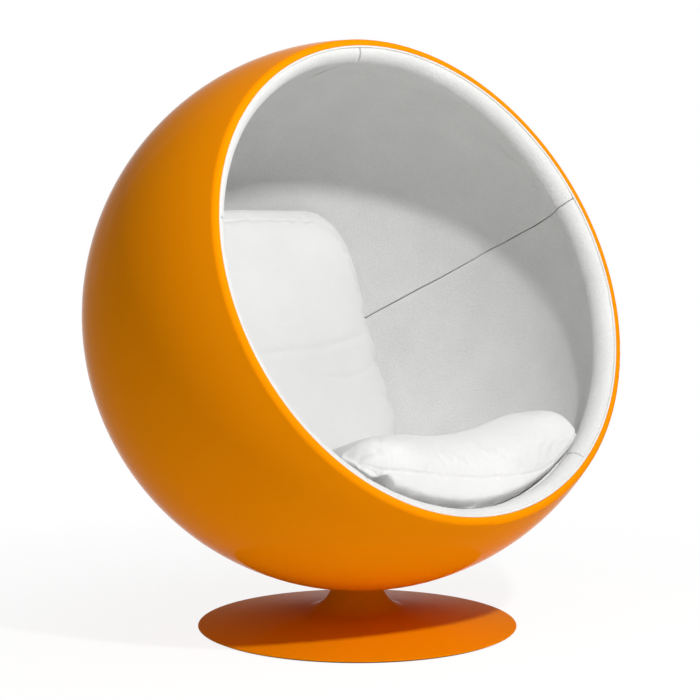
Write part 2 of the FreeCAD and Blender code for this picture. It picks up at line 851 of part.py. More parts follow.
def build():
    """Every piece by its node name, at its place in the chair."""
    welt_groove = welt(soft_gap)
    spacer_bottom = lower_bearing_top
    spacer_top = upper_bearing_bottom
    ring_seat = spindle_radius + running_gap
    pieces = {
        "felt_floor_pad": cylinder(felt_radius, 0, felt_thickness),
        "ballast_plate": ballast_plate(),
        "base_trumpet": base_trumpet(),
        "trumpet_screws": trumpet_screws(),
        "spindle": spindle(),
        "spindle_bolts": spindle_bolts(),
        "spindle_washer": spindle_washer(),
        "spindle_nut": spindle_nut(),
        "bearing_inner_rings": bearing_rings(bearing_inner_land, ring_seat),
        "bearing_balls": bearing_balls(),
        "inner_spacer": ring(ring_seat + spacer_wall, ring_seat, spacer_bottom, spacer_top),
        "ball_shell": ball_shell(),
        "swivel_housing": swivel_housing(),
        "bearing_outer_rings": bearing_rings(bearing_outer_radius, bearing_outer_land),
        "outer_spacer": ring(
            bearing_outer_radius, bearing_outer_radius - spacer_wall, spacer_bottom, spacer_top
        ),
        "circlip": circlip(),
        "anchor_plate": anchor_plate(),
        "anchor_washers": anchor_washers(),
        "anchor_bolts": anchor_bolts(),
        "access_plug": access_plug(),
        "tacking_ring": place_in_chair(tacking_ring()),
        "rim_welt": place_in_chair(welt()),
        "seat_block": seat_block(),
        "loop_strips": strips(loop_strip_radius),
        "hook_strips": strips(hook_strip_radius),
    }
    gore_names = [
        "liner_upper_right", "liner_upper_left", "liner_side_left", "liner_bottom",
        "liner_side_right",
    ]
    for index, name in enumerate(gore_names):
        pieces[name] = gore(index, welt_groove)
    cushions = (("seat_cushion", seat_form, seat_zip), ("back_cushion", back_form, back_zip))
    for name, form, zip_band in cushions:
        core = form(cushion_cover)
        skin = form().cut(core)
        band = zip_band()
        pieces[name + "_core"] = place_in_chair(core)
        pieces[name + "_cover"] = place_in_chair(as_solid(skin.cut(band)))
        pieces[name + "_zip"] = place_in_chair(as_solid(skin.common(band)))
    return pieces


os.makedirs("parts", exist_ok=True)
for node, shape in build().items():
    bad = [solid for solid in shape.Solids if not solid.isValid() or solid.Volume <= 0]
    print(f"{node}: {len(shape.Solids)} solids, {shape.Volume / 1000.0:.1f} cm3, {len(bad)} bad")
    shape.exportStep(f"parts/{node}.step")
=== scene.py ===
"""Looks of the pod chair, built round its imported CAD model.

Metres, +Z up, the chair faces -Y. "Local" points are in the opening's own frame: X is the
chair's X, Y is up the opening's face and Z points out of the opening, from the ball's centre.
"""
import math

import bmesh
import bpy
import numpy as np
from mathutils import Matrix, Vector, noise


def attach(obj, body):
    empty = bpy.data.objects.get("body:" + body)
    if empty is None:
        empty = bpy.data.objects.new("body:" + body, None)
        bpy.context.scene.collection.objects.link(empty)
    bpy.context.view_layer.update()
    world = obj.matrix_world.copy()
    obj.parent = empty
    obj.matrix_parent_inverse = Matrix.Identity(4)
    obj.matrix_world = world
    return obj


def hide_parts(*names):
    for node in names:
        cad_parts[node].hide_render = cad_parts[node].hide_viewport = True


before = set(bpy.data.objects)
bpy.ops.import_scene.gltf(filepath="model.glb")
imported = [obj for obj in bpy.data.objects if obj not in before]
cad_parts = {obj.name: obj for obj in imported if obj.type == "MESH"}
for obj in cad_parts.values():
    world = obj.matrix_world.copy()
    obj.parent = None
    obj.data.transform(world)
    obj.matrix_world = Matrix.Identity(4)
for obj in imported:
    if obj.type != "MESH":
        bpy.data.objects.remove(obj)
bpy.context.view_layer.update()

scene = bpy.context.scene

# Sizes that follow the CAD model, in metres
BALL_CENTRE = Vector((0.0, 0.0, 0.632))
OPENING_TILT = math.radians(22.4)
LINER_OUTER = 0.5425
LINER_INNER = 0.5037
ROLL_RADIUS = 0.022
FLANGE_INNER = 0.48189
ROLL_CENTRE_R = 0.47844
ROLL_CENTRE_A = 0.21775
RING_BOTTOM = 0.1964
WELT_RADIUS = 0.0023
GORES = ("upper_right", "upper_left", "side_left", "bottom", "side_right")
FIRST_SEAM = 18.0

# Cloth: mesh size, inner pressure, most that a point may move, and frames to settle
CUSHION_VOXEL = 0.005
CUSHION_PRESSURE = 4.0
CUSHION_SWELL = 0.0060
CLOTH_FRAMES = 20

TO_CHAIR = Matrix.Translation(BALL_CENTRE) @ Matrix.Rotation(
    math.pi / 2 - OPENING_TILT, 4, "X"
)
TO_CHAIR_NP = np.array(TO_CHAIR, float)


# Mesh helpers
def coords(o):
    points = np.empty(len(o.data.vertices) * 3)
    o.data.vertices.foreach_get("co", points)
    return points.reshape(-1, 3)


def set_coords(o, points):
    o.data.vertices.foreach_set("co", np.asarray(points, float).ravel())
    o.data.update()


def to_local(points):
    return (points - TO_CHAIR_NP[:3, 3]) @ TO_CHAIR_NP[:3, :3]


def to_chair(points):
    return points @ TO_CHAIR_NP[:3, :3].T + TO_CHAIR_NP[:3, 3]


def normals(o):
    found = np.empty(len(o.data.vertices) * 3)
    o.data.vertex_normals.foreach_get("vector", found)
    return found.reshape(-1, 3)


def noise_at(points, scale, seed=0.0):
    """Smooth noise from -1 to 1 at each point, with features about 1/scale metres across."""
    shift = Vector((seed, 2.7 * seed, -1.3 * seed))
    return np.array([noise.noise(Vector(p) * scale + shift) for p in points])


def smooth_step(x, low, high):
    t = np.clip((x - low) / (high - low), 0.0, 1.0)
    return t * t * (3 - 2 * t)


def ridge_line(distance, width):
    """1 on a line and 0 a few widths from it."""
    return np.exp(-((distance / width) ** 2))


def new_object(name, mesh, material, body, smooth=True):
    o = bpy.data.objects.new(name, mesh)
    scene.collection.objects.link(o)
    if smooth:
        mesh.polygons.foreach_set("use_smooth", [True] * len(mesh.polygons))
    mesh.materials.clear()
    mesh.materials.append(material)
    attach(o, body)
    return o


def grid_mesh(name, rows, closed_rows=False, closed_columns=False, caps=False):
    """Mesh from a list of rows of points, each row as long as the others."""
    rows = np.asarray(rows, float)
    count, width = rows.shape[:2]
    faces = []
    for i in range(count if closed_rows else count - 1):
        below = (i + 1) % count
        for j in range(width if closed_columns else width - 1):
            right = (j + 1) % width
            here, there = i * width, below * width
            faces.append((here + j, here + right, there + right, there + j))
    if caps:
        faces.append(tuple(range(width - 1, -1, -1)))
        faces.append(tuple((count - 1) * width + j for j in range(width)))
    mesh = bpy.data.meshes.new(name)
    mesh.from_pydata(rows.reshape(-1, 3).tolist(), [], faces)
    mesh.validate()
    mesh.update()
    return mesh


def outward(mesh):
    bm = bmesh.new()
    bm.from_mesh(mesh)
    bmesh.ops.recalc_face_normals(bm, faces=bm.faces)
    bm.to_mesh(mesh)
    bm.free()
    return mesh


def bake_modifiers(o):
    """Replaces the object's mesh with what its modifiers make of it."""
    graph = bpy.context.evaluated_depsgraph_get()
    mesh = bpy.data.meshes.new_from_object(o.evaluated_get(graph))
    o.modifiers.clear()
    o.data = mesh


def loose_copy(node, name):
    """A free copy of a CAD node's mesh, to build a soft piece from."""
    o = bpy.data.objects.new(name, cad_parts[node].data.copy())
    scene.collection.objects.link(o)
    return o


def remesh(o, voxel):
    modifier = o.modifiers.new("remesh", "REMESH")
    modifier.mode = "VOXEL"
    modifier.voxel_size = voxel
    bake_modifiers(o)


def relax(o, factor, repeats):
    modifier = o.modifiers.new("relax", "SMOOTH")
    modifier.factor = factor
    modifier.iterations = repeats
    bake_modifiers(o)


def subdivide(o):
    modifier = o.modifiers.new("subdivide", "SUBSURF")
    modifier.levels = modifier.render_levels = 1
    bake_modifiers(o)


def puff(o, pressure, cap):
    """Swells a closed cloth under inner pressure; no point moves further than cap."""
    start = coords(o)
    cloth = o.modifiers.new("puff", "CLOTH")
    settings = cloth.settings
    settings.quality = 5
    settings.mass = 0.3
    settings.tension_stiffness = settings.compression_stiffness = 12.0
    settings.shear_stiffness = 5.0
    settings.bending_stiffness = 0.4
    settings.use_pressure = True
    settings.uniform_pressure_force = pressure
    settings.effector_weights.gravity = 0.0
    cloth.point_cache.frame_start = 1
    cloth.point_cache.frame_end = CLOTH_FRAMES
    for step in range(1, CLOTH_FRAMES + 1):
        scene.frame_set(step)
    bake_modifiers(o)
    moved = coords(o) - start
    length = np.linalg.norm(moved, axis=1)
    share = np.minimum(1.0, cap / np.maximum(length, 1e-9))
    set_coords(o, start + moved * share[:, None])
    scene.frame_set(1)


# Materials
class Nodes:
    """Short names for building one node material."""

    def __init__(self, name):
        self.material = bpy.data.materials.new(name)
        self.material.use_nodes = True
        self.tree = self.material.node_tree
        self.shader = self.tree.nodes["Principled BSDF"]
        self.place = self.tree.nodes.new("ShaderNodeTexCoord").outputs["Object"]

    def node(self, kind, **values):
        made = self.tree.nodes.new(kind)
        for key, value in values.items():
            if key in made.inputs:
                made.inputs[key].default_value = value
            else:
                setattr(made, key, value)
        return made

    def link(self, out, into):
        self.tree.links.new(out, into)

    def noise(self, scale, detail=2.0, roughness=0.5, place=None):
        made = self.node("ShaderNodeTexNoise", Scale=scale, Detail=detail, Roughness=roughness)
        self.link(place or self.place, made.inputs["Vector"])
        return made.outputs["Fac"]

    def math(self, operation, a, b=0.0):
        made = self.node("ShaderNodeMath", operation=operation)
        for socket, value in zip(made.inputs, (a, b)):
            if isinstance(value, (int, float)):
                socket.default_value = value
            else:
                self.link(value, socket)
        return made.outputs[0]

    def ramp(self, factor, *stops):
        made = self.node("ShaderNodeValToRGB")
        ramp = made.color_ramp
        while len(ramp.elements) < len(stops):
            ramp.elements.new(0.5)
        for element, (where, colour) in zip(ramp.elements, stops):
            element.position = where
            element.color = (*colour, 1.0)
        self.link(factor, made.inputs["Fac"])
        return made.outputs["Color"]

    def spread(self, factor, low, high):
        made = self.node("ShaderNodeMapRange")
        self.link(factor, made.inputs["Value"])
        made.inputs["To Min"].default_value = low
        made.inputs["To Max"].default_value = high
        return made.outputs["Result"]

    def bump(self, height, distance, strength=1.0, under=None):
        made = self.node("ShaderNodeBump", Strength=strength, Distance=distance)
        self.link(height, made.inputs["Height"])
        if under is not None:
            self.link(under, made.inputs["Normal"])
        return made.outputs["Normal"]

    def set(self, **values):
        for key, value in values.items():
            socket = self.shader.inputs[key.replace("_", " ")]
            if isinstance(value, bpy.types.NodeSocket):
                self.link(value, socket)
            else:
                socket.default_value = value


def colour_shift(rgb, share):
    return tuple(min(1.0, channel * share) for channel in rgb)


def gloss_paint(name, rgb, wave, ior):
    """Deep gloss lacquer: even colour, faint orange peel and a slow waviness in the skin."""
    m = Nodes(name)
    tone = m.noise(1.6, 3.0)
    m.set(Base_Color=m.ramp(tone, (0.3, colour_shift(rgb, 0.97)), (0.7, colour_shift(rgb, 1.03))))
    m.set(Roughness=m.spread(m.noise(7.0, 4.0), 0.08, 0.14))
    m.set(IOR=ior, Specular_Tint=(1.0, 0.62, 0.12, 1.0))
    peel = m.bump(m.noise(340.0, 1.0), 0.00006)
    m.set(Normal=m.bump(m.noise(2.6, 0.0), wave, under=peel))
    return m.material


def felted(name, rgb, grain):
    """Short wool cloth: matted fibres at two scales, a soft sheen and no visible weave."""
    m = Nodes(name)
    fine = m.noise(900.0 * grain, 3.0, 0.7)
    clumps = m.noise(260.0 * grain, 4.0, 0.65)
    patches = m.noise(9.0, 3.0)
    mixed = m.math("ADD", m.math("MULTIPLY", clumps, 0.6), m.math("MULTIPLY", patches, 0.4))
    dark, light = colour_shift(rgb, 0.9), colour_shift(rgb, 1.05)
    m.set(Base_Color=m.ramp(mixed, (0.34, dark), (0.68, light)))
    m.set(Roughness=0.95, Sheen_Weight=0.25, Sheen_Roughness=0.5, Specular_IOR_Level=0.2)
    low = m.bump(clumps, 0.0011)
    m.set(Normal=m.bump(fine, 0.0005, under=low))
    return m.material


def woven(name, rgb, pitch):
    """Plain cotton weave: crossed threads, slubs and slight tone changes between panels."""
    m = Nodes(name)
    split = m.node("ShaderNodeSeparateXYZ")
    m.link(m.place, split.inputs[0])
    turns = 2 * math.pi / pitch
    waves = [m.math("SINE", m.math("MULTIPLY", split.outputs[axis], turns)) for axis in range(3)]
    pairs = [m.math("MULTIPLY", waves[axis], waves[(axis + 1) % 3]) for axis in range(3)]
    cross = m.math("ADD", m.math("ADD", pairs[0], pairs[1]), pairs[2])
    slub = m.noise(420.0, 3.0, 0.6)
    thread = m.math("ADD", m.math("MULTIPLY", cross, 0.25), slub)
    tone = m.noise(5.0, 3.0)
    mixed = m.math("ADD", m.math("MULTIPLY", slub, 0.35), m.math("MULTIPLY", tone, 0.65))
    dark, light = colour_shift(rgb, 0.95), colour_shift(rgb, 1.03)
    m.set(Base_Color=m.ramp(mixed, (0.36, dark), (0.66, light)))
    m.set(Roughness=0.9, Sheen_Weight=0.15, Sheen_Roughness=0.45, Specular_IOR_Level=0.25)
    soft = m.bump(m.noise(38.0, 2.0), 0.0012)
    m.set(Normal=m.bump(thread, 0.0004, under=soft))
    return m.material


def turned_metal(name, rgb, rough):
    """Machined steel: fine rings about the swivel axis and faint smudges."""
    m = Nodes(name)
    split = m.node("ShaderNodeSeparateXYZ")
    m.link(m.place, split.inputs[0])
    across = m.math("POWER", split.outputs[0], 2.0)
    radius = m.math("SQRT", m.math("ADD", across, m.math("POWER", split.outputs[1], 2.0)))
    rings = m.math("SINE", m.math("MULTIPLY", radius, 9000.0))
    m.set(Base_Color=m.ramp(m.noise(30.0, 4.0), (0.3, colour_shift(rgb, 0.9)), (0.7, rgb)))
    m.set(Metallic=1.0, Roughness=m.spread(m.noise(60.0, 3.0), rough, rough + 0.12))
    m.set(Normal=m.bump(rings, 0.00003))
    return m.material


def plain_grain(name, rgb, rough, scale, depth, stretch=(1.0, 1.0, 1.0)):
    """Grainy solid, such as plywood, felt, foam or moulded plastic."""
    m = Nodes(name)
    mapping = m.node("ShaderNodeMapping")
    mapping.inputs["Scale"].default_value = stretch
    m.link(m.place, mapping.inputs["Vector"])
    grain = m.noise(scale, 5.0, 0.65, mapping.outputs[0])
    m.set(Base_Color=m.ramp(grain, (0.3, colour_shift(rgb, 0.8)), (0.7, colour_shift(rgb, 1.1))))
    m.set(Roughness=rough, Normal=m.bump(grain, depth))
    return m.material


ORANGE = (0.94, 0.285, 0.001)
SHELL_IOR = 1.03
BASE_IOR = 1.012
WHITE_WOOL = (0.78, 0.78, 0.77)
WHITE_COTTON = (0.82, 0.82, 0.81)
SHELL = gloss_paint("shell_lacquer", ORANGE, 0.004, SHELL_IOR)
# The base's lacquer is the shell's orange darkened to 82 per cent. The darkening is painted shade
# that stands in for less light on the base at floor level.
PAINT = gloss_paint("base_lacquer", colour_shift(ORANGE, 0.82), 0.001, BASE_IOR)
WOOL = felted("lining_wool", WHITE_WOOL, 1.0)
PIPING = felted("piping_wool", (0.86, 0.85, 0.80), 1.4)
COTTON = woven("cushion_cotton", WHITE_COTTON, 0.0016)
STEEL = turned_metal("machined_steel", (0.62, 0.62, 0.63), 0.25)
FELT = plain_grain("felt", (0.06, 0.06, 0.06), 0.98, 500.0, 0.0006)
PLYWOOD = plain_grain("plywood", (0.55, 0.38, 0.2), 0.7, 60.0, 0.0002, (1.0, 1.0, 14.0))
TAPE = plain_grain("tape", (0.75, 0.75, 0.73), 0.95, 1500.0, 0.0005)
BLACK = plain_grain("black_plastic", (0.02, 0.02, 0.02), 0.5, 900.0, 0.0001)

CAD_LOOKS = {
    "ball_shell": SHELL,
    "base_trumpet": PAINT,
    "felt_floor_pad": FELT,
    "tacking_ring": PLYWOOD,
    "loop_strips": TAPE,
    "hook_strips": TAPE,
    "access_plug": BLACK,
}
for node_name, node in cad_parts.items():
    look = CAD_LOOKS.get(node_name, STEEL)
    node.data.materials.clear()
    node.data.materials.append(look)


# Lining
# Seams: half gap, how far down the face they lean, and how much they wander, in radians
SEAM_GAP = 0.0007
SEAM_REACH = 0.14
SEAM_WANDER = 0.0012
# The roll's section: its middle and half depth along the opening's axis, the turns where it
# starts and ends, and its length along the face
ROLL_MIDDLE_A = 0.2085
ROLL_HALF_DEPTH = 0.0312
ROLL_STARTS = math.radians(60.0)
ROLL_ENDS = math.radians(212.0)
ROLL_LENGTH = 0.060
# Where the bowl takes over behind the roll, in half depths of the roll
BOWL_STARTS = 1.35
BOWL_ENDS = -math.pi / 2 + 0.004
SHELL_CLEARANCE = 0.0005
FLANGE_CLEARANCE = 0.0006
# How far each seam leans round the roll from its even place, in degrees, and how deep it runs
SEAM_LEANS = (1.1, 3.1, 2.9, 0.0, -1.1)
SEAM_SHARES = (1.0, 0.04, 1.0, 1.0, 1.0)
# A gore's edge, from its seam: distance in, and how far it is turned down
EDGE_STEPS = np.array([
    (0.0, 0.0034), (0.0, 0.0020), (0.0002, 0.0014), (0.0007, 0.0008), (0.0014, 0.0003),
    (0.0024, 0.0), (0.0040, 0.0), (0.0065, 0.0), (0.0100, 0.0), (0.0150, 0.0), (0.0220, 0.0),
    (0.0320, 0.0),
])
EDGE_PUFF = 0.0011
EDGE_PUFF_REACH = 0.007
PLAIN_COLUMNS = 52
# Seams close up nearer to the bowl's middle than this
POLE_RADIUS = 0.060
FACE_UNEVENNESS = 0.0007


def gore_profile():
    """Closed profile of a gore: points as (radius, axial), the padded face's inward direction
    at each (none on the hidden side), and the distance along the face from the piping."""
    points, inner = [], []
    lean = math.atan2(ROLL_MIDDLE_A - BOWL_STARTS * ROLL_HALF_DEPTH, ROLL_CENTRE_R)
    for angle in np.linspace(ROLL_STARTS, ROLL_ENDS, 30):
        points.append((
            ROLL_CENTRE_R + ROLL_RADIUS * math.cos(angle),
            ROLL_MIDDLE_A + ROLL_HALF_DEPTH * math.sin(angle),
        ))
        facing = np.array((math.cos(angle) / ROLL_RADIUS, math.sin(angle) / ROLL_HALF_DEPTH))
        inner.append(tuple(facing / np.linalg.norm(facing)))
    for angle in np.linspace(lean, BOWL_ENDS, 110):
        points.append((LINER_INNER * math.cos(angle), LINER_INNER * math.sin(angle)))
        inner.append((-math.cos(angle), -math.sin(angle)))
    outer = LINER_OUTER - SHELL_CLEARANCE
    top = math.asin(RING_BOTTOM / outer)
    for angle in np.linspace(BOWL_ENDS, top, 30):
        points.append((outer * math.cos(angle), outer * math.sin(angle)))
        inner.append((0.0, 0.0))
    back = FLANGE_INNER - FLANGE_CLEARANCE
    for axial in (RING_BOTTOM, ROLL_CENTRE_A + 0.3 * ROLL_RADIUS):
        points.append((back, axial))
        inner.append((0.0, 0.0))
    points = np.array(points)
    steps = np.linalg.norm(np.diff(points, axis=0), axis=1)
    return points, np.array(inner), np.concatenate([[0.0], np.cumsum(steps)])


def seam_place(seam, along):
    """A seam's turn about the opening axis at each distance from the piping, and its depth."""
    seam %= len(GORES)
    share = smooth_step(along / SEAM_REACH, 0.0, 1.0)
    lean = math.radians(SEAM_LEANS[seam]) * (1.0 - share)
    wander = np.sin(along * 24.0 + seam) + 0.6 * np.sin(along * 61.0 + 2.0 * seam)
    lean += SEAM_WANDER * wander * share
    behind = smooth_step(along, 0.6 * ROLL_LENGTH, ROLL_LENGTH)
    depth = 1.0 + (SEAM_SHARES[seam] - 1.0) * behind
    return lean, depth * (0.35 + 0.65 * smooth_step(along, 0.004, 0.022))


def gore_piece(index, name):
    """One padded gore: its edges turn down into narrow seams, and its face is a little uneven."""
    profile, inner, along = gore_profile()
    span = 2 * math.pi / len(GORES)
    first = math.radians(FIRST_SEAM) + index * span
    low_lean, low_depth = seam_place(index, along)
    high_lean, high_depth = seam_place(index + 1, along)
    low, high = first + low_lean, first + span + high_lean
    radius = profile[:, 0]
    per_metre = 1.0 / np.maximum(radius, POLE_RADIUS)
    shown = np.hypot(inner[:, 0], inner[:, 1])
    fade = np.clip(radius / POLE_RADIUS, 0.0, 1.0)
    columns = []
    for step, down in EDGE_STEPS:
        sunk = down + EDGE_PUFF * math.exp(-step / EDGE_PUFF_REACH)
        columns.append((low + (SEAM_GAP * low_depth + step) * per_metre, sunk * low_depth))
    edge_low = columns[-1][0]
    edge_high = high - (SEAM_GAP + EDGE_STEPS[-1][0]) * per_metre
    for share in np.linspace(0.0, 1.0, PLAIN_COLUMNS)[1:-1]:
        columns.append((edge_low + share * (edge_high - edge_low), np.zeros(len(along))))
    for step, down in EDGE_STEPS[::-1]:
        sunk = down + EDGE_PUFF * math.exp(-step / EDGE_PUFF_REACH)
        columns.append((high - (SEAM_GAP * high_depth + step) * per_metre, sunk * high_depth))
    rows = []
    for turn, depth in columns:
        sink = depth * shown * fade
        r = radius - inner[:, 0] * sink
        axial = profile[:, 1] - inner[:, 1] * sink
        rows.append(np.stack([r * np.cos(turn), r * np.sin(turn), axial], 1))
    rows = np.array(rows)
    flat = rows.reshape(-1, 3)
    slow = noise_at(flat, 9.0, 3.1 + index) + 0.5 * noise_at(flat, 26.0, 8.7 + index)
    depth = FACE_UNEVENNESS * (slow - 1.2) * np.tile(shown, len(rows))
    push = np.tile(inner, (len(rows), 1)) * depth[:, None]
    radial = np.hypot(flat[:, 0], flat[:, 1])
    flat[:, 0] += push[:, 0] * flat[:, 0] / radial
    flat[:, 1] += push[:, 0] * flat[:, 1] / radial
    flat[:, 2] += push[:, 1]
    rows = to_chair(flat).reshape(rows.shape)
    mesh = outward(grid_mesh(name, rows, closed_columns=True, caps=True))
    o = new_object(name, mesh, WOOL, "ball")
    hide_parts("liner_" + GORES[index])
    return o


for gore_index, gore_name in enumerate(GORES):
    gore_piece(gore_index, "lining_" + gore_name)


WELT_GAP = 0.0003
WELT_LIFT = 0.0005
WELT_UNEVENNESS = 0.03


def welt_piece():
    """Piping round the opening: a covered cord, slightly uneven along its length."""
    centre_r = FLANGE_INNER - WELT_RADIUS - WELT_GAP
    centre_a = ROLL_CENTRE_A + ROLL_RADIUS + WELT_LIFT
    rows = []
    steps, sides = 720, 14
    for i in range(steps):
        turn = 2 * math.pi * i / steps
        lump = noise.noise(Vector((6 * math.cos(turn), 6 * math.sin(turn), 5.0)))
        thick = WELT_RADIUS * (1.0 + WELT_UNEVENNESS * lump)
        row = []
        for j in range(sides):
            side = 2 * math.pi * j / sides
            radius = centre_r + thick * math.cos(side)
            axial = centre_a + thick * math.sin(side)
            row.append((radius * math.cos(turn), radius * math.sin(turn), axial))
        rows.append(row)
    rows = to_chair(np.array(rows).reshape(-1, 3)).reshape(steps, sides, 3)
    mesh = outward(grid_mesh("opening_piping", rows, closed_rows=True, closed_columns=True))
    o = new_object("opening_piping", mesh, PIPING, "ball")
    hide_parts("rim_welt")


welt_piece()


# Cushions
SEAM_GROOVE = 0.0026
BOWL_CLEARANCE = 0.0004


def path_distance(flat, path):
    """Distance from each point to a path in the same plane, and its place along the path."""
    path = np.array(path, float) / 1000.0
    best = np.full(len(flat), 1e9)
    place = np.zeros(len(flat))
    lengths = np.linalg.norm(np.diff(path, axis=0), axis=1)
    total = lengths.sum()
    done = 0.0
    for start, end, length in zip(path, path[1:], lengths):
        along = np.clip(((flat - start) @ (end - start)) / length**2, 0.0, 1.0)
        away = np.linalg.norm(flat - start - along[:, None] * (end - start), axis=1)
        nearer = away < best
        best[nearer] = away[nearer]
        place[nearer] = (done + along[nearer] * length) / total
        done += length
    return best, place


def fold(flat, path, width, depth, fade=0.15):
    """A crease along a path given in millimetres: how far it pushes each point in."""
    away, place = path_distance(flat, path)
    ends = smooth_step(place, 0.0, fade) * smooth_step(1.0 - place, 0.0, fade)
    lips = 0.2 * ridge_line(away - 2.2 * width, 1.2 * width)
    return -depth * ends * (ridge_line(away, width) - lips)


def swelled(node, name):
    """A soft copy of a cushion's core: remeshed, relaxed, blown up like a filled cover."""
    o = loose_copy(node, name)
    remesh(o, CUSHION_VOXEL)
    relax(o, 0.5, 4)
    puff(o, CUSHION_PRESSURE, CUSHION_SWELL)
    subdivide(o)
    return o


def dress(o, material, body, cad_nodes):
    """Shades a padded piece smooth, gives it its material, hangs it on its body and hides the CAD
    nodes it replaces.
    """
    o.data.polygons.foreach_set("use_smooth", [True] * len(o.data.polygons))
    o.data.materials.clear()
    o.data.materials.append(material)
    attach(o, body)
    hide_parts(*cad_nodes)


def dress_cushion(o, body):
    nodes = [body + "_cover", body + "_core", body + "_zip"]
    dress(o, COTTON, body, nodes)


def keep_in_bowl(points):
    """Points pulled back inside the lining."""
    away = np.linalg.norm(points, axis=1)
    return points * np.minimum(1.0, (LINER_INNER - BOWL_CLEARANCE) / away)[:, None]


# Front seam of the seat cushion: angle from straight down, and radius from the opening's axis
SEAT_SEAM = np.array([
    (-44.0, 0.436), (-31.3, 0.4294), (-26.4, 0.4164), (-18.4, 0.4049), (-11.0, 0.4016),
    (-4.0, 0.4018), (6.2, 0.4074), (15.4, 0.4232), (22.7, 0.4357), (34.0, 0.4440), (44.0, 0.4440),
])
SEAT_SEAM_DIP = 0.016
# Creases at its left end: a side seam and two folds. Each is a path across and up the opening
# in millimetres, a width and a depth
SEAT_CREASES = (
    (((-204, -296), (-205, -311), (-206, -324), (-206, -339), (-209, -356), (-217, -369)),
     0.0024, 0.0020),
    (((-320, -332), (-300, -327), (-284, -325), (-260, -323), (-232, -324), (-212, -331)),
     0.0110, 0.0060),
    (((-300, -349), (-282, -355), (-268, -362), (-255, -367), (-241, -369), (-224, -365)),
     0.0080, 0.0020),
)
# The lower edge that lifts there, across and up the opening in metres
SEAT_LIFTED_EDGE = np.array([
    (-0.300, -0.382), (-0.269, -0.377), (-0.253, -0.374), (-0.212, -0.374),
])


def seat_cushion():
    o = swelled("seat_cushion_core", "seat_cushion_soft")
    points = to_local(coords(o))
    facing = normals(o) @ TO_CHAIR_NP[:3, :3]
    flat = points[:, :2]
    radius = np.hypot(points[:, 0], points[:, 1])
    angle = np.degrees(np.arctan2(points[:, 0], -points[:, 1]))
    front = smooth_step(facing[:, 2], 0.1, 0.5)
    rear = smooth_step(-facing[:, 2], 0.1, 0.5)
    wall = np.maximum(front, rear)
    from_seam = np.abs(radius - np.interp(angle, SEAT_SEAM[:, 0], SEAT_SEAM[:, 1]))
    groove = ridge_line(from_seam, SEAM_GROOVE) * wall
    near = ridge_line(from_seam, SEAT_SEAM_DIP) * wall
    ripple = np.sin(angle * 3.1 + 2.0 * noise_at(points, 12.0, 4.0))
    slow = noise_at(points, 6.0, 21.0) + 0.5 * noise_at(points, 15.0, 33.0)
    push = -0.0017 * groove - 0.0006 * near + 0.0002 * near * ripple + 0.0016 * slow
    for path, width, depth in SEAT_CREASES:
        push += front * fold(flat, path, width, depth)
    sunk = smooth_step(-points[:, 0], 0.200, 0.265)
    push -= sunk * front * (0.005 + 0.011 * smooth_step(-points[:, 1], 0.310, 0.380))
    moved = points + facing * push[:, None]
    lifted = np.interp(moved[:, 0], SEAT_LIFTED_EDGE[:, 0], SEAT_LIFTED_EDGE[:, 1])
    end = smooth_step(-moved[:, 0], 0.204, 0.226) * smooth_step(moved[:, 2], 0.12, 0.17)
    moved[:, 1] += end * np.maximum(0.0, lifted - moved[:, 1])
    set_coords(o, to_chair(keep_in_bowl(moved)))
    dress_cushion(o, "seat_cushion")


# Back cushion's outline up the opening: height above its bottom and half width
BACK_BOTTOM = -0.303
BACK_OUTLINE = np.array([
    (0.0, 0.084), (0.008, 0.142), (0.023, 0.198), (0.047, 0.241), (0.081, 0.270), (0.133, 0.287),
    (0.243, 0.288), (0.363, 0.279), (0.453, 0.278), (0.518, 0.272), (0.565, 0.256),
    (0.601, 0.230), (0.623, 0.197), (0.634, 0.157), (0.636, 0.0),
])
# Its seam lies inside the outline by this much at the sides, and by this much more at the top
BACK_SEAM_INSET = 0.012
BACK_SEAM_TOP_INSET = 0.033
BACK_SEAM_DIP = 0.018
# Its creases: a path across and up the opening in millimetres, a width and a depth
BACK_CREASES = (
    (((-150, 3), (-87, 0), (14, 2), (82, 5), (126, 14), (171, 23), (207, 33), (245, 41)),
     0.0075, 0.0019),
    (((40, -58), (62, -60), (124, -63), (159, -58), (195, -49), (240, -28)), 0.0060, 0.0012),
)
# Heights up the opening where its sides pinch, and how deep
BACK_PINCHES = ((0.083, 0.0050), (-0.024, 0.0065), (-0.108, 0.0050), (-0.19, 0.0030))
# How far its top stands above the CAD core, and how much wider its foot is
BACK_TOP_RISE = 0.010
BACK_FOOT_SPREAD = 0.045


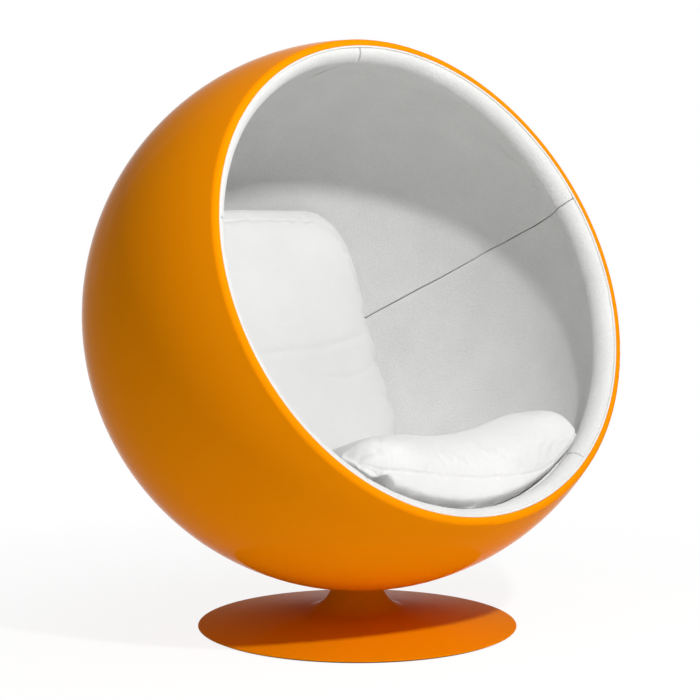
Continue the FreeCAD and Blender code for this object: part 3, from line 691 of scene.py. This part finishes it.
def back_cushion():
    o = swelled("back_cushion_core", "back_cushion_soft")
    points = to_local(coords(o))
    facing = normals(o) @ TO_CHAIR_NP[:3, :3]
    flat = points[:, :2]
    right = np.stack([BACK_OUTLINE[:, 1], BACK_BOTTOM + BACK_OUTLINE[:, 0]], 1)
    outline = np.concatenate([right, right[::-1] * (-1.0, 1.0)]) * 1000.0
    inside, place = path_distance(flat, outline)
    front = smooth_step(facing[:, 2], 0.1, 0.45)
    rear = smooth_step(-facing[:, 2], 0.1, 0.45)
    wanted = BACK_SEAM_INSET + BACK_SEAM_TOP_INSET * smooth_step(points[:, 1], 0.18, 0.29)
    from_seam = np.abs(inside - wanted)
    wall = np.maximum(front, rear)
    groove = ridge_line(from_seam, SEAM_GROOVE) * wall
    near = ridge_line(from_seam, BACK_SEAM_DIP) * wall
    ripple = np.sin(place * 300.0 + 2.5 * noise_at(points, 10.0, 44.0))
    slow = noise_at(points, 5.0, 51.0) + 0.5 * noise_at(points, 13.0, 63.0)
    push = -0.0016 * groove - 0.0008 * near + 0.0004 * near * ripple + 0.0020 * slow
    for path, width, depth in BACK_CREASES:
        push += front * fold(flat, path, width, depth)
    side = smooth_step(np.abs(points[:, 0]), 0.20, 0.27)
    for height, depth in BACK_PINCHES:
        above = points[:, 1] - height
        pinch = ridge_line(above, 0.011) - 0.5 * ridge_line(above - 0.028, 0.02)
        push -= side * depth * pinch
    moved = points + facing * push[:, None]
    moved[:, 1] += BACK_TOP_RISE * smooth_step(points[:, 1], 0.16, 0.32)
    moved[:, 0] *= 1.0 + BACK_FOOT_SPREAD * smooth_step(-points[:, 1], 0.02, 0.16)
    set_coords(o, to_chair(keep_in_bowl(moved)))
    dress_cushion(o, "back_cushion")


seat_cushion()
back_cushion()


BLOCK_VOXEL = 0.007


def seat_block_piece():
    """Foam block under the seat cushion, covered in the lining's wool."""
    o = loose_copy("seat_block", "seat_block_padded")
    remesh(o, BLOCK_VOXEL)
    relax(o, 0.5, 3)
    dress(o, WOOL, "ball", ["seat_block"])


seat_block_piece()


# Floor, lights and camera
FLOOR_HALF = 30.0
# The floor keeps this share of its shadow near the chair, and none beyond the second distance
SHADOW_RANGE = (("From Min", 0.5), ("From Max", 1.5), ("To Min", 0.82), ("To Max", 1.0))
WORLD_LEVEL = 0.30
KEY_PLACE = (-0.316, -2.393, 2.46)
KEY_SIZE = (0.14, 0.14)
KEY_WATTS = 74.0
STRIP_PLACE = (-0.35, 3.0, 2.1)
STRIP_SIZE = (0.03, 3.0)
STRIP_WATTS = 1.2
CAMERA_PLACE = (-2.4532, -2.9672, 0.8860)
CAMERA_DIRECTION = (0.63201, 0.77044, -0.08354)
CAMERA_LENS = 98.53


def floor():
    """White floor that keeps a soft shadow near the chair and clears to white further out."""
    half = FLOOR_HALF
    corners = [(-half, -half, 0), (half, -half, 0), (half, half, 0), (-half, half, 0)]
    mesh = bpy.data.meshes.new("floor")
    mesh.from_pydata(corners, [], [(0, 1, 2, 3)])
    m = Nodes("floor_white")
    m.set(Base_Color=(0.92, 0.92, 0.92, 1.0), Roughness=0.9, Specular_IOR_Level=0.1)
    glow = m.node("ShaderNodeEmission", Color=(1.0, 1.0, 1.0, 1.0))
    seen = m.node("ShaderNodeLightPath")
    clear = m.math("MAXIMUM", seen.outputs["Is Camera Ray"], seen.outputs["Is Glossy Ray"])
    clear = m.math("MAXIMUM", clear, seen.outputs["Is Transmission Ray"])
    away = m.node("ShaderNodeVectorMath", operation="LENGTH")
    m.link(m.place, away.inputs[0])
    share = m.node("ShaderNodeMapRange")
    m.link(away.outputs["Value"], share.inputs["Value"])
    for socket, value in SHADOW_RANGE:
        share.inputs[socket].default_value = value
    strength = m.math("SUBTRACT", 1.35, m.math("MULTIPLY", share.outputs["Result"], 0.35))
    m.link(strength, glow.inputs["Strength"])
    mix = m.node("ShaderNodeMixShader")
    m.link(m.math("MULTIPLY", clear, share.outputs["Result"]), mix.inputs[0])
    m.link(m.shader.outputs[0], mix.inputs[1])
    m.link(glow.outputs[0], mix.inputs[2])
    m.link(mix.outputs[0], m.tree.nodes["Material Output"].inputs["Surface"])
    o = bpy.data.objects.new("floor", mesh)
    scene.collection.objects.link(o)
    mesh.materials.append(m.material)


floor()


def world_light(level):
    """Even white surroundings: plain white to the camera and in reflections, dimmer as light."""
    world = bpy.data.worlds.new("studio")
    scene.world = world
    world.use_nodes = True
    tree = world.node_tree
    back = tree.nodes["Background"]
    back.inputs["Color"].default_value = (1.0, 1.0, 1.0, 1.0)
    path = tree.nodes.new("ShaderNodeLightPath")
    seen = path.outputs["Is Camera Ray"]
    for kind in ("Is Glossy Ray", "Is Transmission Ray"):
        most = tree.nodes.new("ShaderNodeMath")
        most.operation = "MAXIMUM"
        tree.links.new(seen, most.inputs[0])
        tree.links.new(path.outputs[kind], most.inputs[1])
        seen = most.outputs[0]
    level_range = tree.nodes.new("ShaderNodeMapRange")
    level_range.inputs["To Min"].default_value = level
    level_range.inputs["To Max"].default_value = 1.0
    tree.links.new(seen, level_range.inputs["Value"])
    tree.links.new(level_range.outputs[0], back.inputs["Strength"])


world_light(WORLD_LEVEL)


def area_light(name, place, aim, size, watts):
    data = bpy.data.lights.new(name, "AREA")
    data.shape = "RECTANGLE"
    data.size, data.size_y = size
    data.energy = watts
    o = bpy.data.objects.new(name, data)
    scene.collection.objects.link(o)
    o.location = place
    o.rotation_mode = "QUATERNION"
    o.rotation_quaternion = (Vector(aim) - Vector(place)).to_track_quat("-Z", "Y")
    return o


area_light("key", KEY_PLACE, BALL_CENTRE, KEY_SIZE, KEY_WATTS)
area_light("back_strip", STRIP_PLACE, BALL_CENTRE, STRIP_SIZE, STRIP_WATTS)

camera_data = bpy.data.cameras.new("camera")
camera_data.sensor_width = 36.0
camera_data.lens = CAMERA_LENS
camera_data.clip_start = 0.05
camera_data.clip_end = 200.0
camera = bpy.data.objects.new("camera", camera_data)
scene.collection.objects.link(camera)
camera.location = CAMERA_PLACE
camera.rotation_mode = "QUATERNION"
camera.rotation_quaternion = Vector(CAMERA_DIRECTION).to_track_quat("-Z", "Y")
scene.camera = camera
scene.view_settings.view_transform = "Standard"
